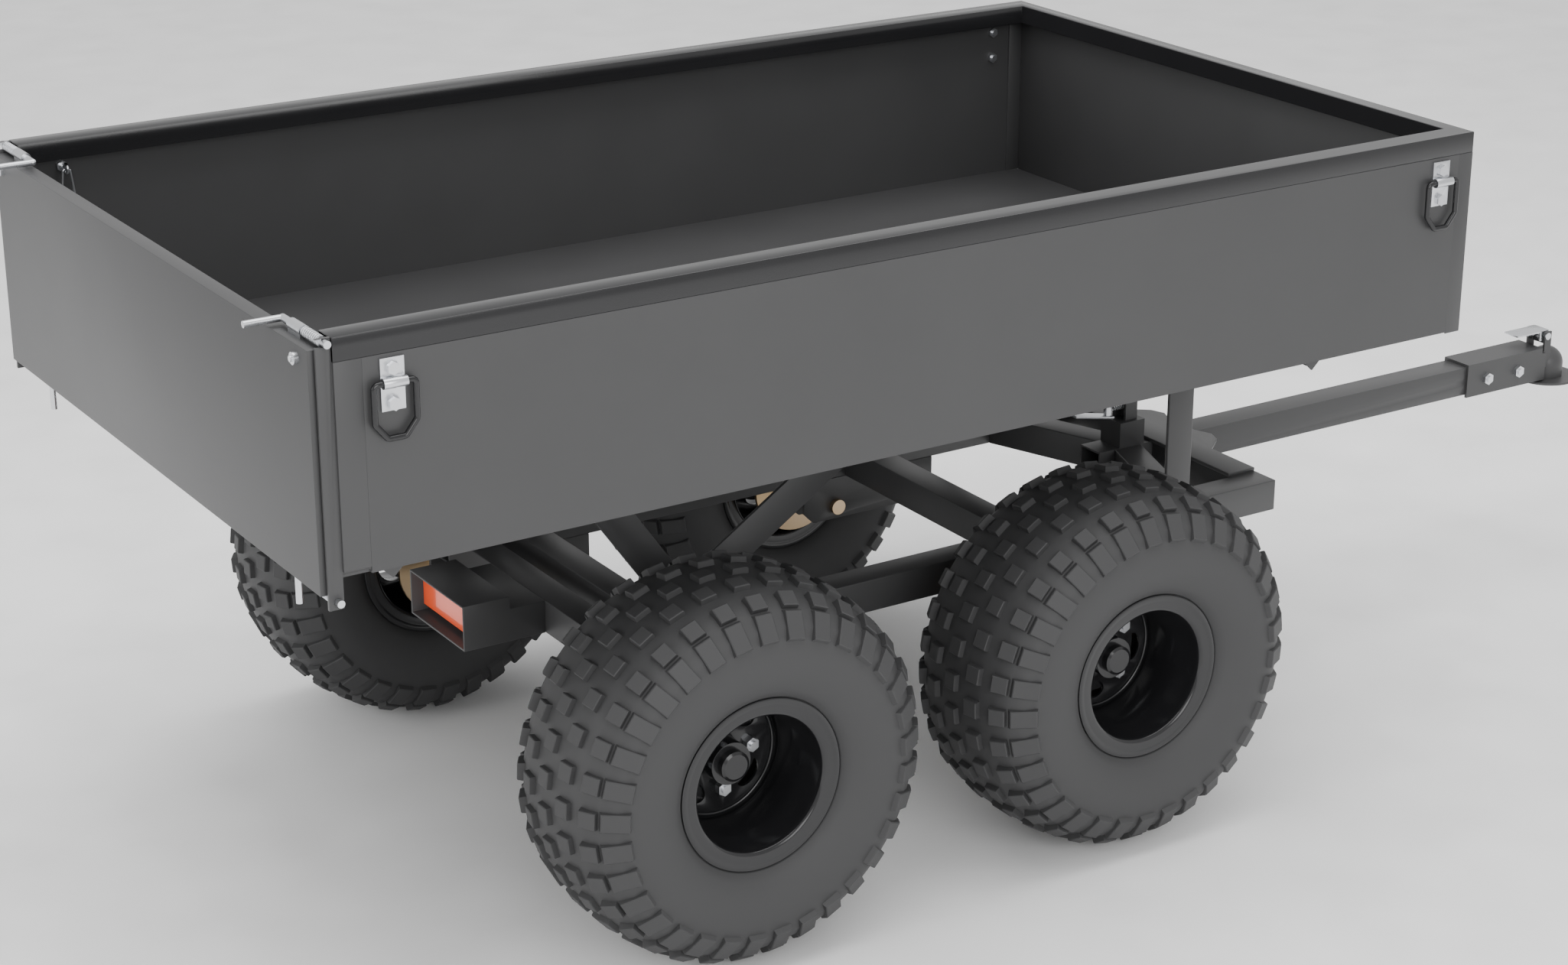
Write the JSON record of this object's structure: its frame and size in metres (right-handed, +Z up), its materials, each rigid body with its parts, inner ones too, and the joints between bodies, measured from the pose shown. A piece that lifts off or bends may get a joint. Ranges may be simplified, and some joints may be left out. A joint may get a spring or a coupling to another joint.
{
  "type": "tow-behind dump cart",
  "caption": "Steel utility dump cart on tandem pneumatic tyres, with a tilting rectangular bed, a hinged tailgate on draw bolts and a straight tongue with a ball coupler.",
  "frame": {"origin": "middle of the footprint on the ground", "axes": "+X forward to the coupler, +Y to the left, +Z up"},
  "size_m": [2.758, 1.246, 1.0033],
  "materials": {
    "black_paint": "satin",
    "gloss_black": "gloss",
    "tyre_rubber": "matte",
    "zinc": "satin",
    "yellow_zinc": "satin",
    "reflector_red": "gloss"
  },
  "bodies": {
    "chassis": {"side_rails": "black_paint", "cross_tubes": "black_paint", "drawbar": "black_paint", "drawbar_gusset": "black_paint", "axle_hangers": "black_paint", "rear_housing": "black_paint", "reflector": "reflector_red", "pivot_lugs": "black_paint", "hinge_pins": "zinc", "front_posts": "black_paint", "latch_post": "black_paint", "latch_spring": "zinc", "coupler_body": "black_paint", "coupler_bolts": "zinc", "wheel_spindles": "yellow_zinc", "wheel_bearings": "zinc", "spindle_nuts": "zinc"},
    "bed": {"bed_floor": "black_paint", "left_side_panel": "black_paint", "right_side_panel": "black_paint", "front_panel": "black_paint", "top_rails": "gloss_black", "corner_posts": "black_paint", "bed_underframe": "black_paint", "tilt_struts": "black_paint", "tie_down_brackets": "zinc", "tie_down_bolts": "zinc", "eye_bolts": "zinc"},
    "tailgate": {"tailgate_panel": "black_paint", "tailgate_screws": "zinc", "bolt_barrels": "zinc", "bolt_springs": "zinc"},
    "latch_lever": {"latch_lever": "zinc"},
    "coupler_latch": {"coupler_latch": "zinc"},
    "draw_bolt_lower_right": {"draw_bolt_lower_right": "zinc"},
    "draw_bolt_lower_left": {"draw_bolt_lower_left": "zinc"},
    "draw_bolt_upper_right": {"draw_bolt_upper_right": "zinc"},
    "draw_bolt_upper_left": {"draw_bolt_upper_left": "zinc"},
    "tie_down_ring_rear_right": {"tie_down_ring_rear_right": "gloss_black"},
    "tie_down_ring_rear_left": {"tie_down_ring_rear_left": "gloss_black"},
    "tie_down_ring_front_right": {"tie_down_ring_front_right": "gloss_black"},
    "tie_down_ring_front_left": {"tie_down_ring_front_left": "gloss_black"},
    "snap_hook_right": {"snap_hook_right": "zinc"},
    "snap_hook_left": {"snap_hook_left": "zinc"},
    "wheel_rear_right": {"tyre_rear_right": "tyre_rubber", "rim_rear_right": "gloss_black", "hub_rear_right": "gloss_black", "lug_nuts_rear_right": "zinc"},
    "wheel_rear_left": {"tyre_rear_left": "tyre_rubber", "rim_rear_left": "gloss_black", "hub_rear_left": "gloss_black", "lug_nuts_rear_left": "zinc"},
    "wheel_front_right": {"tyre_front_right": "tyre_rubber", "rim_front_right": "gloss_black", "hub_front_right": "gloss_black", "lug_nuts_front_right": "zinc"},
    "wheel_front_left": {"tyre_front_left": "tyre_rubber", "rim_front_left": "gloss_black", "hub_front_left": "gloss_black", "lug_nuts_front_left": "zinc"}
  },
  "joints": [
    {"name": "bed_tilt", "type": "hinge", "parent": "chassis", "child": "bed", "pos_m": [-0.6815, 0, 0.424], "axis": [0, -1, 0], "range_deg": [0, 45]},
    {"name": "tailgate_hinge", "type": "hinge", "parent": "bed", "child": "tailgate", "pos_m": [-1.327, 0, 0.665], "axis": [0, -1, 0], "range_deg": [0, 110]},
    {"name": "latch_lever_pivot", "type": "hinge", "parent": "chassis", "child": "latch_lever", "pos_m": [0.298, 0, 0.59], "axis": [0, -1, 0], "range_deg": [0, 8], "stiffness_Nm_per_rad": 20, "springref_deg": -5.73, "deforming": ["latch_spring"]},
    {"name": "coupler_latch_pivot", "type": "hinge", "parent": "chassis", "child": "coupler_latch", "pos_m": [1.297, 0, 0.404], "axis": [0, 1, 0], "range_deg": [0, 60]},
    {"name": "draw_bolt_lower_right_slide", "type": "slide", "parent": "tailgate", "child": "draw_bolt_lower_right", "axis": [0, 1, 0], "range_m": [0, 0.018], "stiffness_N_per_m": 400, "springref_m": -0.02, "deforming": ["bolt_springs"]},
    {"name": "draw_bolt_lower_left_slide", "type": "slide", "parent": "tailgate", "child": "draw_bolt_lower_left", "axis": [0, -1, 0], "range_m": [0, 0.018], "stiffness_N_per_m": 400, "springref_m": -0.02, "deforming": ["bolt_springs"]},
    {"name": "draw_bolt_upper_right_slide", "type": "slide", "parent": "tailgate", "child": "draw_bolt_upper_right", "axis": [0, 1, 0], "range_m": [0, 0.018], "stiffness_N_per_m": 400, "springref_m": -0.02, "deforming": ["bolt_springs"]},
    {"name": "draw_bolt_upper_left_slide", "type": "slide", "parent": "tailgate", "child": "draw_bolt_upper_left", "axis": [0, -1, 0], "range_m": [0, 0.018], "stiffness_N_per_m": 400, "springref_m": -0.02, "deforming": ["bolt_springs"]},
    {"name": "tie_down_ring_rear_right_swing", "type": "hinge", "parent": "bed", "child": "tie_down_ring_rear_right", "pos_m": [-1.244, -0.568, 0.936], "axis": [-1, 0, 0], "range_deg": [0, 170]},
    {"name": "tie_down_ring_rear_left_swing", "type": "hinge", "parent": "bed", "child": "tie_down_ring_rear_left", "pos_m": [-1.244, 0.568, 0.936], "axis": [1, 0, 0], "range_deg": [0, 170]},
    {"name": "tie_down_ring_front_right_swing", "type": "hinge", "parent": "bed", "child": "tie_down_ring_front_right", "pos_m": [0.461, -0.568, 0.936], "axis": [-1, 0, 0], "range_deg": [0, 170]},
    {"name": "tie_down_ring_front_left_swing", "type": "hinge", "parent": "bed", "child": "tie_down_ring_front_left", "pos_m": [0.461, 0.568, 0.936], "axis": [1, 0, 0], "range_deg": [0, 170]},
    {"name": "snap_hook_right_swing", "type": "hinge", "parent": "bed", "child": "snap_hook_right", "pos_m": [-1.244, -0.537, 0.9465], "axis": [0, 1, 0], "range_deg": [-60, 60]},
    {"name": "snap_hook_left_swing", "type": "hinge", "parent": "bed", "child": "snap_hook_left", "pos_m": [-1.244, 0.537, 0.9465], "axis": [0, 1, 0], "range_deg": [-60, 60]},
    {"name": "wheel_rear_right_spin", "type": "hinge", "parent": "chassis", "child": "wheel_rear_right", "pos_m": [-0.744, -0.488, 0.2795], "axis": [0, 1, 0], "continuous": true},
    {"name": "wheel_rear_left_spin", "type": "hinge", "parent": "chassis", "child": "wheel_rear_left", "pos_m": [-0.744, 0.488, 0.2795], "axis": [0, 1, 0], "continuous": true},
    {"name": "wheel_front_right_spin", "type": "hinge", "parent": "chassis", "child": "wheel_front_right", "pos_m": [-0.082, -0.488, 0.2795], "axis": [0, 1, 0], "continuous": true},
    {"name": "wheel_front_left_spin", "type": "hinge", "parent": "chassis", "child": "wheel_front_left", "pos_m": [-0.082, 0.488, 0.2795], "axis": [0, 1, 0], "continuous": true}
  ]
}
